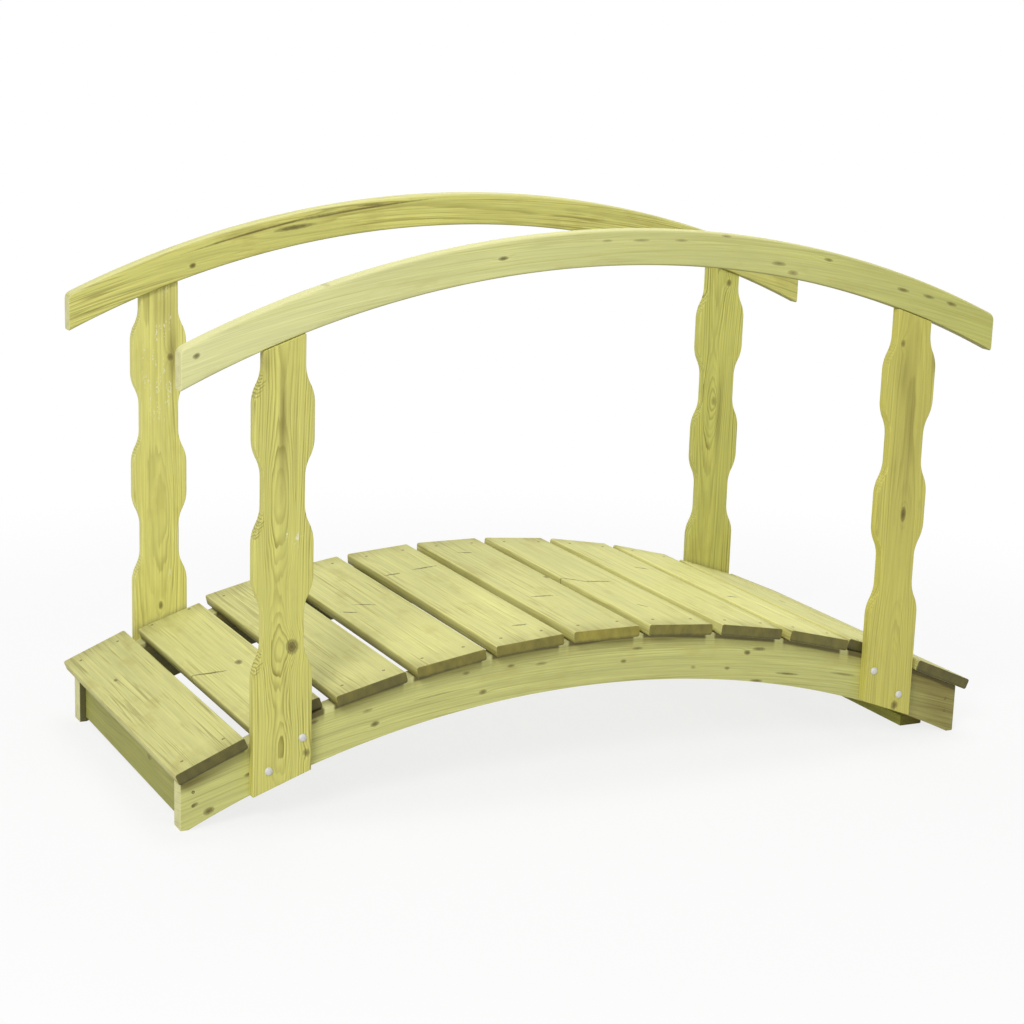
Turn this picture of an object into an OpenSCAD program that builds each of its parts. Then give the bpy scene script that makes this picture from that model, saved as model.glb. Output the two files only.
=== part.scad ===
// Arched wooden garden bridge with two handrails
// Units are millimetres, +Z is up, +X runs along the walkway
// The origin is on the ground under the middle of the deck

/* [Overall size] */

// Length over the first and last deck plank
bridge_length = 1700; // [1400:10:2200]
// Width over the outer faces of the posts and over the deck planks
bridge_width = 740; // [600:5:1000]
// Height of the top of the handrail at the middle
bridge_height = 1050; // [900:5:1250]

/* [Side beams] */

// Clear height under the arch at the middle
arch_rise = 187; // [140:1:230]
// Depth of a side beam across its curve
beam_depth = 93; // [75:1:115]
// Thickness of a side beam
beam_thickness = 36; // [28:1:48]
// Length of the flat that stands on the ground at each end
foot_flat = 15; // [8:1:40]

/* [Deck] */

// Gap between two deck planks along the beams
plank_gap = 20; // [8:1:30]
// Thickness of a deck plank
plank_thickness = 22; // [18:1:30]
// Radius of the long edges of a deck plank
plank_edge = 4; // [2:0.5:8]
// How far a plank end beside a post stays inside the outer face of the beam
plank_setback = 6; // [1:1:15]
// Overhang of the first and last plank beyond the beam ends
deck_overhang = 17; // [4:1:30]

/* [End boards] */

// Thickness of an end board
end_board_thickness = 22; // [18:1:30]
// How far an end board is set back from the beam ends
end_board_setback = 13; // [4:1:30]
// Clear height under an end board
end_board_clearance = 9; // [0:1:15]
// Gap between an end board and the plank above it
end_board_gap = 1; // [0:0.5:4]

/* [Sole boards] */

// Width of the board that lies on the ground behind an end board
sole_width = 52; // [30:1:80]
// Thickness of a sole board
sole_thickness = 22; // [18:1:30]
// Gap between the ends of a sole board and the side beams
sole_gap = 25; // [5:1:60]

/* [Posts] */

// Gap between a post and the overhanging plank beside it
post_gap = 8; // [2:1:16]
// Thickness of a post
post_thickness = 22; // [18:1:40]
// Width of a post at its bulges
post_width = 111; // [90:1:125]
// Width of a post at its necks
neck_width = 77; // [56:1:86]
// Height of the middle of the lowest neck
neck_height = 363; // [340:1:400]
// Height from one neck to the next
wave_pitch = 247; // [220:1:270]
// Length of the straight stretch of a neck
neck_straight = 49; // [30:1:65]
// Height of the curve between a neck and a bulge
wave_curve = 69; // [50:1:75]
// How far the foot of a post stays above the underside of the beam
post_foot = 3; // [0:1:12]

/* [Handrails] */

// How far a handrail ends short of the deck ends
rail_inset = 14; // [0:1:50]
// Depth of a handrail across its curve
rail_depth = 65; // [50:1:90]
// Thickness of a handrail
rail_thickness = 32; // [26:1:45]
// How far the face of a handrail lies behind the faces of the posts
rail_setback = 1; // [0:0.5:4]
// Drop of a handrail from its middle to its ends
rail_drop = 184; // [140:1:230]
// Width of the bevel along the edges of a handrail
rail_edge = 4; // [2:0.5:8]
// Radius of the upper corner at each end of a handrail
rail_corner = 12; // [6:1:18]

/* [Hidden] */

// Steps round the full circle of an arch, of a post's waves and of a rounded corner
arch_steps = 720;
wave_steps = 180;
corner_steps = 64;

// How far cutting shapes reach past what they cut, as a length and as an angle
spare = 50;
spare_turn = 3;

plank_count = 11;
half_deck = bridge_length / 2;
half_length = half_deck - deck_overhang;

// Side beams, two arcs about one centre on the middle line
half_span = half_length - foot_flat;
under_radius = (half_span * half_span + arch_rise * arch_rise) / (2 * arch_rise);
top_radius = under_radius + beam_depth;
arch_z = arch_rise - under_radius;
beam_face = bridge_width / 2 - post_thickness;
beam_inner = beam_face - beam_thickness;

// Deck planks, equal turns about the arch centre
lift = top_radius + plank_thickness;
deck_turn = 2 * asin(half_deck / lift);
deck_arc = deck_turn * PI / 180 * top_radius;
plank_width = (deck_arc - (plank_count - 1) * plank_gap) / plank_count;
turn = (plank_width + plank_gap) / top_radius * 180 / PI;
end_turn = turn * (plank_count - 1) / 2;
long_plank = bridge_width;
short_plank = 2 * (beam_face - plank_setback);

// Lower edge line of the last plank, which end boards and posts keep clear of
plank_foot_x = top_radius * sin(end_turn);
plank_foot_z = arch_z + top_radius * cos(end_turn);
plank_inner_x = plank_foot_x - plank_width / 2 * cos(end_turn);

// End boards, tops just under the first and last plank
board_x = half_length - end_board_setback;
board_top = plank_foot_z - (board_x - plank_foot_x) * tan(end_turn) - end_board_gap;

// Sole boards, from the ground up, against the inner faces of the end boards
sole_x = board_x - end_board_thickness;
sole_half = beam_inner - sole_gap;

// Handrails, two arcs about one centre on the middle line
rail_half = half_deck - rail_inset;
rail_radius = (rail_half * rail_half + rail_drop * rail_drop) / (2 * rail_drop);
rail_under = rail_radius - rail_depth;
rail_z = bridge_height - rail_radius;
rail_y = bridge_width / 2 - rail_setback - rail_thickness / 2;
rail_sweep = 2 * (asin(rail_half / rail_under) + spare_turn);
corner_x = rail_half - rail_corner;
corner_reach = rail_radius - rail_corner;
corner_z = sqrt(corner_reach * corner_reach - corner_x * corner_x);

// Posts, beside the second plank from each end
post_offset = plank_inner_x - post_gap - post_width / 2;

// Post outline, two equal arcs make the curve between a neck and a bulge
// They cross each other and the straight edges by a hair instead of just touching
wave_cross = 0.1;
wave_step = (post_width - neck_width) / 2;
wave_turn = 2 * atan2(wave_step, wave_curve);
wave_radius = wave_curve / (2 * sin(wave_turn)) + 3 * wave_cross;
bulge_half = post_width / 2 - wave_cross;
neck_half = neck_width / 2 + wave_cross;
bulge_straight = wave_pitch - neck_straight - 2 * wave_curve;
mid_width = neck_width + wave_step;

// Ring between two radii, in a drawing plane with the arch centre at height z
module ring(outer, inner, z) {
    translate([0, z]) {
        difference() {
            circle(r = outer, $fn = arch_steps);
            circle(r = inner, $fn = arch_steps);
        }
    }
}

// Stands a drawing up in the XZ plane and gives it thickness along Y from y0
module upright(y0, thickness) {
    translate([0, y0 + thickness, 0]) {
        rotate([90, 0, 0]) {
            linear_extrude(height = thickness) {
                children();
            }
        }
    }
}

// Rectangle about the origin with round corners
module soft_rectangle(w, h, r) {
    square([w - 2 * r, h], center = true);
    square([w, h - 2 * r], center = true);
    for (sx = [-1, 1]) {
        for (sy = [-1, 1]) {
            translate([sx * (w / 2 - r), sy * (h / 2 - r)]) {
                circle(r = r, $fn = corner_steps);
            }
        }
    }
}

// Rectangle about the origin with bevelled corners
module bevelled_rectangle(w, h, c) {
    x = w / 2;
    y = h / 2;
    polygon([
        [x, y - c], [x - c, y], [c - x, y], [-x, y - c],
        [-x, c - y], [c - x, -y], [x - c, -y], [x, c - y]
    ]);
}

// Arched side beam from y0
module stringer(y0) {
    upright(y0, beam_thickness) {
        intersection() {
            ring(top_radius, under_radius, arch_z);
            translate([-half_length, 0]) {
                square([2 * half_length, arch_rise + beam_depth + spare]);
            }
        }
    }
}

// End board with its outer face at x
module end_board(x0) {
    translate([x0, -beam_inner, end_board_clearance]) {
        cube([end_board_thickness, 2 * beam_inner, board_top - end_board_clearance]);
    }
}

// Sole board from x0 towards +X
module sole_board(x0) {
    translate([x0, -sole_half, 0]) {
        cube([sole_width, 2 * sole_half, sole_thickness]);
    }
}

// Deck plank number i, counted from the left
module plank(i, length) {
    a = (i - (plank_count + 1) / 2) * turn;
    translate([0, 0, arch_z]) {
        rotate([0, a, 0]) {
            translate([0, length / 2, top_radius + plank_thickness / 2]) {
                rotate([90, 0, 0]) {
                    linear_extrude(height = length) {
                        soft_rectangle(plank_width, plank_thickness, plank_edge);
                    }
                }
            }
        }
    }
}

// One curve between a bulge and a neck, rising from the end of the bulge
module shoulder() {
    difference() {
        union() {
            intersection() {
                translate([post_width / 2 - wave_radius, 0]) {
                    circle(r = wave_radius, $fn = wave_steps);
                }
                square([post_width, wave_curve]);
            }
            square([mid_width / 2, wave_curve]);
        }
        translate([neck_width / 2 + wave_radius, wave_curve]) {
            circle(r = wave_radius, $fn = wave_steps);
        }
    }
}

// Both shoulders above a bulge
module shoulders() {
    shoulder();
    mirror([1, 0]) {
        shoulder();
    }
}

// Wavy post outline about its middle line, longer than needed at both ends
module post_outline() {
    low_end = neck_height - neck_straight / 2 - wave_curve;
    translate([-bulge_half, -spare]) {
        square([2 * bulge_half, low_end + spare]);
    }
    translate([0, low_end]) {
        shoulders();
    }
    translate([-neck_half, low_end]) {
        square([2 * neck_half, bridge_height - low_end]);
    }
    for (k = [0, 1]) {
        foot = neck_height + k * wave_pitch + neck_straight / 2 + wave_curve;
        translate([-bulge_half, foot]) {
            square([2 * bulge_half, bulge_straight]);
        }
        translate([0, foot + bulge_straight]) {
            shoulders();
        }
        translate([0, foot]) {
            mirror([0, 1]) {
                shoulders();
            }
        }
    }
}

// Post at x, from y0, cut to the underside of beam and handrail
module post(x, y0) {
    upright(y0, post_thickness) {
        difference() {
            intersection() {
                translate([x, 0]) {
                    post_outline();
                }
                translate([0, rail_z]) {
                    circle(r = rail_under, $fn = arch_steps);
                }
            }
            translate([0, arch_z]) {
                circle(r = under_radius + post_foot, $fn = arch_steps);
            }
        }
    }
}

// Wedge outside the round upper corner of a handrail end
module corner_waste() {
    u = spare * [corner_x / corner_reach, corner_z / corner_reach];
    translate([corner_x, rail_z + corner_z]) {
        difference() {
            polygon([[0, 0], [spare, 0], [spare, spare], u]);
            circle(r = rail_corner, $fn = corner_steps);
        }
    }
}

// Arched handrail about the plane at y, its bevelled section swept along the arc
module rail(y) {
    difference() {
        intersection() {
            translate([0, y, rail_z]) {
                rotate([90, 0, 0]) {
                    rotate([0, 0, 90 - rail_sweep / 2]) {
                        rotate_extrude(angle = rail_sweep, $fn = arch_steps) {
                            translate([rail_radius - rail_depth / 2, 0]) {
                                bevelled_rectangle(rail_depth, rail_thickness, rail_edge);
                            }
                        }
                    }
                }
            }
            translate([-rail_half, y - rail_thickness, 0]) {
                cube([2 * rail_half, 2 * rail_thickness, bridge_height + spare]);
            }
        }
        upright(y - rail_thickness, 2 * rail_thickness) {
            corner_waste();
            mirror([1, 0]) {
                corner_waste();
            }
        }
    }
}

module near_stringer() {
    color([0.70, 0.69, 0.36]) stringer(-beam_face);
}

module far_stringer() {
    color([0.70, 0.69, 0.36]) stringer(beam_face - beam_thickness);
}

module left_end_board() {
    color([0.62, 0.61, 0.30]) end_board(-board_x);
}

module right_end_board() {
    color([0.62, 0.61, 0.30]) end_board(board_x - end_board_thickness);
}

module left_sole_board() {
    color([0.62, 0.61, 0.30]) sole_board(-sole_x);
}

module right_sole_board() {
    color([0.62, 0.61, 0.30]) sole_board(sole_x - sole_width);
}

module plank_01() {
    color([0.78, 0.78, 0.50]) plank(1, long_plank);
}

module plank_02() {
    color([0.76, 0.76, 0.47]) plank(2, short_plank);
}

module plank_03() {
    color([0.78, 0.78, 0.50]) plank(3, long_plank);
}

module plank_04() {
    color([0.78, 0.78, 0.50]) plank(4, long_plank);
}

module plank_05() {
    color([0.78, 0.78, 0.50]) plank(5, long_plank);
}

module plank_06() {
    color([0.78, 0.78, 0.50]) plank(6, long_plank);
}

module plank_07() {
    color([0.78, 0.78, 0.50]) plank(7, long_plank);
}

module plank_08() {
    color([0.78, 0.78, 0.50]) plank(8, long_plank);
}

module plank_09() {
    color([0.78, 0.78, 0.50]) plank(9, long_plank);
}

module plank_10() {
    color([0.76, 0.76, 0.47]) plank(10, short_plank);
}

module plank_11() {
    color([0.78, 0.78, 0.50]) plank(11, long_plank);
}

module near_left_post() {
    color([0.76, 0.75, 0.38]) post(-post_offset, -beam_face - post_thickness);
}

module near_right_post() {
    color([0.76, 0.75, 0.38]) post(post_offset, -beam_face - post_thickness);
}

module far_left_post() {
    color([0.76, 0.75, 0.38]) post(-post_offset, beam_face);
}

module far_right_post() {
    color([0.76, 0.75, 0.38]) post(post_offset, beam_face);
}

module near_rail() {
    color([0.84, 0.84, 0.60]) rail(-rail_y);
}

module far_rail() {
    color([0.84, 0.84, 0.60]) rail(rail_y);
}

near_stringer();
far_stringer();
left_end_board();
right_end_board();
left_sole_board();
right_sole_board();
plank_01();
plank_02();
plank_03();
plank_04();
plank_05();
plank_06();
plank_07();
plank_08();
plank_09();
plank_10();
plank_11();
near_left_post();
near_right_post();
far_left_post();
far_right_post();
near_rail();
far_rail();
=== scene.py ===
"""Arched garden bridge of pressure-treated pine: boards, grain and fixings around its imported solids."""

import math
from typing import NamedTuple

import bpy
import numpy as np
from bpy.props import FloatProperty, FloatVectorProperty, PointerProperty
from mathutils import Matrix, Vector


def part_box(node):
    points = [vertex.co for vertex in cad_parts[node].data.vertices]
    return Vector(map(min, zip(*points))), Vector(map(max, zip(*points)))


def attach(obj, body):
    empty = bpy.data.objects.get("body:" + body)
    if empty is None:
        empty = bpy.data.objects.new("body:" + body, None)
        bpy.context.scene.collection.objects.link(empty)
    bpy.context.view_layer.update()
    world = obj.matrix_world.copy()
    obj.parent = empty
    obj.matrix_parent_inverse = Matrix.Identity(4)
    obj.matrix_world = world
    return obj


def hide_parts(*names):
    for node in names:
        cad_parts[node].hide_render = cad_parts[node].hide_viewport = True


bl_info = {
    "name": "Arched garden bridge",
    "version": (1, 0, 0),
    "blender": (4, 5, 0),
    "location": "View3D > Sidebar > Bridge",
    "description": "Dresses the solids of an arched garden bridge with boards, wood grain and fixings",
    "category": "Object",
}

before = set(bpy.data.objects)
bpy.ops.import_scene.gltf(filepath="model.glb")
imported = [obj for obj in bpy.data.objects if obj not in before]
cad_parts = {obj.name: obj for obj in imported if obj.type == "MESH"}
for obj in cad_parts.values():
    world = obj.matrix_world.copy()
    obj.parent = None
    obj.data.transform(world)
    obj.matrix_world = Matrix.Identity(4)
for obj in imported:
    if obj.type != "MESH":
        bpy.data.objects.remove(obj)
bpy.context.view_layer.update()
MM = 0.001
PLANKS = 11
MIDDLE_PLANK = (PLANKS + 1) // 2
NECKS = 3

# Share of an arch's bend that its grain follows, and how far seeds set the grain of two boards apart
GRAIN_RUN = 0.75
SEED_STEP = 7.31

# Sections along arches and posts, extra ones near a rail's end, and the reach of those across the bridge
ARCH_STATIONS = 120
POST_STATIONS = 260
CORNER_STATIONS = (0.004, 0.008, 0.012)
CROSS_REACH = 0.3

# Heights over which the slanted cuts at a post's foot and head fade into level sections
FOOT_REACH = 0.10
HEAD_REACH = 0.04

# How deep bolts and washers sit in the wood
SUNK = 0.0004

WHITE = (1.0, 1.0, 1.0, 1.0)
FLOOR_GREY = (0.86, 0.86, 0.86, 1.0)


def length(name, description, default):
    """A length property in metres."""
    return FloatProperty(name=name, description=description, default=default, unit="LENGTH", precision=4)


def shade(name, description, red, green, blue):
    """A colour property, written in the 0 to 255 numbers of a picture."""
    return FloatVectorProperty(
        name=name,
        description=description,
        subtype="COLOR_GAMMA",
        size=3,
        min=0.0,
        max=1.0,
        default=(red / 255, green / 255, blue / 255),
    )


class BoardSizes(bpy.types.PropertyGroup):
    """Sizes of the boards that the boxes of the solids don't give."""

    beam_depth: length("Beam depth", "Depth of a side beam across its curve", 0.093)
    foot_flat: length("Foot flat", "Length of the flat under each end of a beam", 0.015)
    rail_depth: length("Rail depth", "Depth of a handrail across its curve", 0.065)
    rail_corner: length("Rail corner", "Radius of the upper corner at a rail's end", 0.008)
    neck_width: length("Neck width", "Width of a post at its necks", 0.077)
    neck_height: length("Neck height", "Height of the middle of the lowest neck", 0.363)
    wave_pitch: length("Wave pitch", "Height from one neck to the next", 0.247)
    neck_straight: length("Neck straight", "Length of the straight stretch of a neck", 0.049)
    wave_curve: length("Wave curve", "Height of the curve from neck to bulge", 0.069)
    post_foot: length("Post foot", "Height of a post's foot over the underside of the beam", 0.003)
    plank_edge: length("Plank edge", "Radius of the long edges of a plank", 0.004)
    rail_edge: length("Rail edge", "Radius of the long edges of a handrail", 0.0055)
    sawn_edge: length("Sawn edge", "Radius of the edges that were only sanded", 0.0016)


class FixingSizes(bpy.types.PropertyGroup):
    """Sizes and places of bolts and screws."""

    bolt_head: length("Bolt head", "Diameter of a domed bolt head", 0.0152)
    bolt_rim: length("Bolt rim", "Height of the upright rim of a bolt head", 0.0006)
    bolt_dome: length("Bolt dome", "Height of the dome of a bolt head", 0.0042)
    bolt_inner: length("Inner bolt", "Distance of the inner bolt from the middle of its post", 0.038)
    bolt_outer: length("Outer bolt", "Distance of the outer bolt from the middle of its post", 0.026)
    bolt_low: length("Low bolt", "Height of the outer bolt of a post", 0.101)
    bolt_high: length("High bolt", "Height of the inner bolt of a post", 0.157)
    washer_width: length("Washer width", "Diameter of a washer", 0.021)
    washer_thick: length("Washer thickness", "Thickness of a washer", 0.0016)
    washer_bevel: length("Washer bevel", "Width of the bevel round a washer", 0.0007)
    washer_hole: length("Washer hole", "Diameter of the hole that the nut covers", 0.010)
    nut_width: length("Nut width", "Width of a nut across its flats", 0.013)
    nut_height: length("Nut height", "Height of a nut", 0.0062)
    nut_chamfer: length("Nut chamfer", "Height of the chamfer on a nut's corners", 0.0008)
    screw_head: length("Screw head", "Diameter of a countersunk screw head", 0.0062)
    screw_edge: length("Screw edge", "Distance of a deck screw from the plank's long edge", 0.028)
    end_screw_low: length("Low end screw", "Height of the lower screw in a beam's end", 0.045)
    end_screw_high: length("High end screw", "Height of the upper screw in a beam's end", 0.071)


class WoodColours(bpy.types.PropertyGroup):
    """Colours of the treated pine and of the metal."""

    post_pale: shade("Post pale", "Early wood of the posts", 209, 205, 115)
    post_dark: shade("Post dark", "Late wood of the posts", 146, 137, 56)
    deck_pale: shade("Deck pale", "Early wood of the planks", 214, 212, 136)
    deck_dark: shade("Deck dark", "Late wood of the planks", 172, 164, 84)
    beam_pale: shade("Beam pale", "Early wood of the beams", 208, 208, 129)
    beam_dark: shade("Beam dark", "Late wood of the beams", 142, 138, 66)
    near_pale: shade("Near rail pale", "Early wood of the near handrail", 226, 226, 162)
    near_dark: shade("Near rail dark", "Late wood of the near handrail", 182, 182, 66)
    far_pale: shade("Far rail pale", "Early wood of the far handrail", 216, 213, 122)
    far_dark: shade("Far rail dark", "Late wood of the far handrail", 146, 136, 54)
    board_pale: shade("End board pale", "Early wood of the end and sole boards", 158, 158, 74)
    board_dark: shade("End board dark", "Late wood of the end and sole boards", 132, 128, 54)
    # Also laid on the planks' sawn sides as painted shade in the gaps.
    dark_cut_and_shade: shade("Dark cut", "Cut ends and sawn edges of the planks", 112, 104, 40)
    # Also laid as a painted highlight along the upper edges of the rails.
    pale_cut_and_highlight: shade("Pale cut", "Cut ends of beams, rails and posts", 222, 219, 156)
    # Also laid as painted shade below the planks on the beams, mixed with real grime.
    dirt: shade("Dirt", "Grey-brown dirt in the grain", 128, 116, 54)
    stain: shade("Stain", "Brownish stains on the boards", 178, 164, 82)
    knot: shade("Knot", "Heart of a knot", 108, 92, 40)
    # Also laid as painted shade: the contact shadow under the planks on the beams and the lower edges of the
    # rails.
    check: shade("Check", "Drying cracks and the rims of knots", 84, 74, 32)
    salt: shade("Salt", "Dried specks of treatment salt", 238, 236, 205)
    # Painted shade: a near-black olive laid on the beams' inner faces, which lie in the deck's shade.
    painted_shade: shade("Gloom", "Inner faces of the beams, under the deck", 60, 56, 24)
    zinc: shade("Zinc", "Galvanised bolt heads", 214, 214, 208)
    screw: shade("Screw", "Dull screw heads", 124, 116, 72)


def sizes():
    """The board sizes of this scene."""
    return bpy.context.scene.bridge_boards


def fixings():
    """The fixing sizes of this scene."""
    return bpy.context.scene.bridge_fixings


def colours():
    """The colours of this scene."""
    return bpy.context.scene.bridge_colours


def linear(colour):
    """A picture colour as the linear red, green, blue and alpha that a shader takes."""
    low = np.array(colour) / 12.92
    high = ((np.array(colour) + 0.055) / 1.055) ** 2.4
    return (*np.where(np.array(colour) <= 0.04045, low, high).tolist(), 1.0)


def toned(colour, tone):
    """A colour times a tone."""
    return [tone * part for part in colour]


# Surfaces


def arc_height(x, radius, top):
    """Height over the floor at x of a circle of this radius whose highest point is at top."""
    return top - radius + np.sqrt(radius**2 - x**2)


def chord_radius(half, drop):
    """Radius of the circle that drops by this much over half a chord."""
    return (half**2 + drop**2) / (2 * drop)


def eased_stations(low, high, ease, between):
    """Stations from low to high and how far the section shrinks there.

    Both ends are rounded by a quarter circle: at an angle t the station lies ease * (1 - cos t) inside the
    end, and the section is drawn in by ease * (1 - sin t).
    """
    turn = np.linspace(0, np.pi / 2, 4)
    reach = np.append(ease * (1 - np.cos(turn)), 1.6 * ease)
    inset = np.append(ease * (1 - np.sin(turn)), 0.0)
    inner = between[(between > low + 2 * ease) & (between < high - 2 * ease)]
    place = np.concatenate([low + reach, inner, (high - reach)[::-1]])
    drawn = np.concatenate([inset, np.zeros(len(inner)), inset[::-1]])
    return place, drawn


def section(half_a, half_b, radius, steps=4):
    """Rounded rectangle at each station, as two arrays of (station, point).

    Each corner is a quarter circle about a point one radius inside it. A point just beyond each end of the
    quarter keeps the flat sides flat in the shading.
    """
    slide = np.zeros(steps + 3)
    slide[0], slide[-1] = -0.5 * radius, 0.5 * radius
    quarter = np.concatenate([[0.0], np.linspace(0, np.pi / 2, steps + 1), [np.pi / 2]])
    along_a, along_b = [], []
    for corner, (sign_a, sign_b) in enumerate([(1, 1), (-1, 1), (-1, -1), (1, -1)]):
        angle = quarter + corner * np.pi / 2
        round_a = radius * np.cos(angle) - slide * np.sin(angle)
        round_b = radius * np.sin(angle) + slide * np.cos(angle)
        along_a.append(sign_a * (half_a[:, None] - radius) + round_a)
        along_b.append(sign_b * (half_b[:, None] - radius) + round_b)
    return np.concatenate(along_a, axis=1), np.concatenate(along_b, axis=1)


def skin(points):
    """Vertices and four-sided faces of a closed board from its sections, an array of (station, point, xyz).

    The sides join each section to the next. Each end is closed by strips between the points of the section
    that mirror each other.
    """
    count, around = points.shape[:2]
    here = np.arange(count * around).reshape(count, around)
    beside = np.roll(here, -1, axis=1)
    sides = np.stack([here[:-1], beside[:-1], beside[1:], here[1:]], axis=-1).reshape(-1, 4)
    j = np.arange(around // 2 - 1)
    cap = np.stack([j, j + 1, around - 2 - j, around - 1 - j], axis=-1)
    faces = np.concatenate([sides, cap[:, ::-1], cap + (count - 1) * around])
    return points.reshape(-1, 3), faces


def lathe(radius, height, turns=24):
    """Vertices and faces of a shape turned about +Z, from the radius and height of a profile's points."""
    angle = np.linspace(0, 2 * np.pi, turns, endpoint=False)
    ring = np.stack([np.cos(angle), np.sin(angle), np.zeros(turns)], axis=-1)
    lift = np.array([0.0, 0.0, 1.0])
    return skin(np.array(radius)[:, None, None] * ring + np.array(height)[:, None, None] * lift)


def moved(shape, matrix):
    """Vertices and faces of a shape after a move."""
    points, faces = shape
    matrix = np.array(matrix)
    return points @ matrix[:3, :3].T + matrix[:3, 3], faces


def joined(shapes):
    """One set of vertices and faces from several."""
    points, faces = zip(*shapes)
    starts = np.cumsum([0] + [len(some) for some in points[:-1]])
    return np.concatenate(points), np.concatenate([some + start for some, start in zip(faces, starts)])


def place_piece(name, shape, material, node=None):
    """Makes an object at the origin from vertices and faces, and lets it ride on the bridge."""
    points, faces = shape
    mesh = bpy.data.meshes.new(name)
    mesh.from_pydata(points, [], faces, shade_flat=False)
    mesh.materials.append(material)
    piece = bpy.data.objects.new(name, mesh)
    bpy.context.scene.collection.objects.link(piece)
    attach(piece, "root")
    if node:
        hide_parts(node)


# Shader maths


class Wire:
    """A value in a material. Python's operators on it add Math nodes."""

    def __init__(self, paint, socket):
        self.paint = paint
        self.socket = socket

    def __add__(self, other):
        return self.paint.math("ADD", self, other)

    def __sub__(self, other):
        return self.paint.math("SUBTRACT", self, other)

    def __rsub__(self, other):
        return self.paint.math("SUBTRACT", other, self)

    def __mul__(self, other):
        return self.paint.math("MULTIPLY", self, other)

    def __truediv__(self, other):
        return self.paint.math("DIVIDE", self, other)

    def __abs__(self):
        return self.paint.math("ABSOLUTE", self)

    __radd__ = __add__
    __rmul__ = __mul__


class Paint:
    """The nodes of one material, or of the world."""

    def __init__(self, owner):
        self.owner = owner
        owner.use_nodes = True
        self.tree = owner.node_tree
        self.tree.nodes.clear()

    def node(self, kind, settings=None, inputs=None, output=0):
        """Adds a node, sets it up, and gives its sockets values or links. Returns one output, if any."""
        made = self.tree.nodes.new(kind)
        for key, value in (settings or {}).items():
            setattr(made, key, value)
        for key, value in (inputs or {}).items():
            if isinstance(value, Wire):
                self.tree.links.new(value.socket, made.inputs[key])
            else:
                made.inputs[key].default_value = value
        return Wire(self, made.outputs[output]) if made.outputs else None

    def math(self, operation, *values):
        """A Math node on numbers and wires."""
        return self.node("ShaderNodeMath", {"operation": operation}, dict(enumerate(values)))

    def noise(self, x, y, z, detail=1.0, rough=0.5):
        """Soft noise about 0, mostly within 0.3 of it."""
        spot = self.node("ShaderNodeCombineXYZ", None, {0: x, 1: y, 2: z})
        inputs = {"Vector": spot, "Scale": 1.0, "Detail": detail, "Roughness": rough}
        return self.node("ShaderNodeTexNoise", {"noise_dimensions": "3D"}, inputs) - 0.5

    def parts(self, vector, order):
        """Three parts of a vector, in the order of these axes."""
        made = self.node("ShaderNodeSeparateXYZ", None, {0: vector}).socket.node
        return [Wire(self, made.outputs[axis]) for axis in order]

    def rise(self, value, low, high):
        """Smooth step from 0 at low to 1 at high."""
        settings = {"interpolation_type": "SMOOTHSTEP"}
        return self.node("ShaderNodeMapRange", settings, {0: value, 1: low, 2: high, 3: 0.0, 4: 1.0})

    def mix(self, share, first, second):
        """Colour between two, by share."""
        return self.node("ShaderNodeMix", {"data_type": "RGBA"}, {0: share, 6: first, 7: second}, output=2)

    def lighten(self, colour, factor):
        """A colour times a number."""
        if not isinstance(colour, Wire):
            colour = colour[:3]
        return self.node("ShaderNodeVectorMath", {"operation": "SCALE"}, {0: colour, 3: factor})

    def seen(self):
        """1 for rays that show a surface to the camera, straight, mirrored or through glass, or else 0."""
        path = self.node("ShaderNodeLightPath").socket.node
        kinds = ("Is Camera Ray", "Is Glossy Ray", "Is Transmission Ray")
        direct, mirrored, through = (Wire(self, path.outputs[kind]) for kind in kinds)
        return self.math("MAXIMUM", self.math("MAXIMUM", direct, mirrored), through)

    def finish(self, inputs):
        """Ends a material in one Principled shader."""
        shader = self.node("ShaderNodeBsdfPrincipled", None, inputs)
        self.node("ShaderNodeOutputMaterial", None, {"Surface": shader})
        return self.owner


def metal(name, colour, metallic, roughness):
    """Plain metal with a slightly mottled surface."""
    paint = Paint(bpy.data.materials.new(name))
    spot = paint.node("ShaderNodeTexCoord", None, None, output="Object")
    inputs = {"Vector": spot, "Scale": 420.0, "Detail": 2.0}
    cloud = paint.node("ShaderNodeTexNoise", {"noise_dimensions": "3D"}, inputs) - 0.5
    tone = paint.lighten(linear(colour), 1.0 + cloud * 0.5)
    return paint.finish({"Base Color": tone, "Metallic": metallic, "Roughness": roughness})


# Wood, in millimetres along, across and through each board


class Log(NamedTuple):
    """How one board was cut from its log.

    axes names the object's axes for along, across and through. centre, in metres, and turn place the board.
    bend lets the grain follow an arch: it adds bend times the square of the place along to the place across.
    heart is where the log's heart passes, across and through, and lean how fast it drifts along the board.
    """

    axes: tuple
    centre: tuple
    half_length: float
    turn: float = 0.0
    bend: float = 0.0
    heart: tuple = (0.0, 45.0)
    lean: tuple = (0.0, 0.0)
    spacing: float = 4.0
    seed: float = 1.0


class Knot(NamedTuple):
    """A knot at a place along and across a board, with its half sizes.

    pull is how far it draws the rings round itself, and ink how dark it is: without ink it only bends the
    rings. slant leans it along the board by so much per millimetre across, and fray makes its outline ragged.
    """

    along: float
    across: float
    half_long: float
    half_wide: float
    pull: float = 5.0
    ink: float = 0.8
    slant: float = 0.0
    fray: float = 0.35


class Patch(NamedTuple):
    """A soft brown stain or a shower of salt specks at a place on a board, with half sizes and strength."""

    along: float
    across: float
    half_long: float
    half_wide: float
    share: float = 0.95


def spike(along, across, half_wide, slant=0.0):
    """A branch cut lengthwise, which runs across a board as a thin dark line."""
    return Knot(along, across, 3.0, half_wide, 3.0, 1.0, slant, 1.1)


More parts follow.
